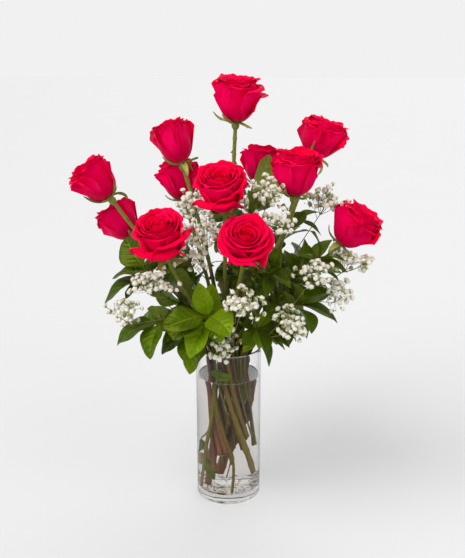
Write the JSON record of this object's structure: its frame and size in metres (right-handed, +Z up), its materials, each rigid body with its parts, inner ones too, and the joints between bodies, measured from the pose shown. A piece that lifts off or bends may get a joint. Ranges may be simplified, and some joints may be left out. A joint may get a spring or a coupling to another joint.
{
  "type": "roses in a vase",
  "caption": "Long-stemmed red roses with baby's breath, broad leaves and ruscus in a clear glass cylinder vase of water.",
  "frame": {"origin": "centre of the vase's flat underside", "axes": "+Z up along the vase, -Y towards the front of the bouquet, +X to the viewer's right"},
  "size_m": [0.4569, 0.3415, 0.6595],
  "materials": {
    "clear_glass": "clear polished glass",
    "water": "clear still water",
    "petal": "velvety crimson petals, pinker on their backs",
    "sepal": "matte leaf green",
    "rose_stem": "satin olive stem, purple brown lower down",
    "broad_leaf": "glossy green leaf with a paler underside",
    "narrow_leaf": "glossy dark green leaf",
    "blossom": "matte white blossom on yellow green twigs"
  },
  "bodies": {
    "root": {"vase": "clear_glass", "water": "water", "rose_01_stem": "rose_stem", "rose_01_calyx": "sepal", "rose_01_bloom": "petal", "rose_02_stem": "rose_stem", "rose_02_calyx": "sepal", "rose_02_bloom": "petal", "rose_03_stem": "rose_stem", "rose_03_calyx": "sepal", "rose_03_bloom": "petal", "rose_04_stem": "rose_stem", "rose_04_calyx": "sepal", "rose_04_bloom": "petal", "rose_05_stem": "rose_stem", "rose_05_calyx": "sepal", "rose_05_bloom": "petal", "rose_06_stem": "rose_stem", "rose_06_calyx": "sepal", "rose_06_bloom": "petal", "rose_07_stem": "rose_stem", "rose_07_calyx": "sepal", "rose_07_bloom": "petal", "rose_08_stem": "rose_stem", "rose_08_calyx": "sepal", "rose_08_bloom": "petal", "rose_09_stem": "rose_stem", "rose_09_calyx": "sepal", "rose_09_bloom": "petal", "rose_10_stem": "rose_stem", "rose_10_calyx": "sepal", "rose_10_bloom": "petal", "rose_11_stem": "rose_stem", "rose_11_calyx": "sepal", "rose_11_bloom": "petal", "rose_12_stem": "rose_stem", "rose_12_calyx": "sepal", "rose_12_bloom": "petal", "salal_1": "broad_leaf", "salal_2": "broad_leaf", "salal_3": "broad_leaf", "salal_4": "broad_leaf", "salal_5": "broad_leaf", "salal_6": "broad_leaf", "salal_7": "broad_leaf", "ruscus_1": "narrow_leaf", "ruscus_2": "narrow_leaf", "ruscus_3": "narrow_leaf", "ruscus_4": "narrow_leaf", "ruscus_5": "narrow_leaf", "gypsophila_1": "blossom", "gypsophila_2": "blossom", "gypsophila_3": "blossom", "gypsophila_4": "blossom", "gypsophila_5": "blossom", "gypsophila_6": "blossom", "gypsophila_7": "blossom", "gypsophila_8": "blossom", "gypsophila_9": "blossom"}
  },
  "joints": []
}
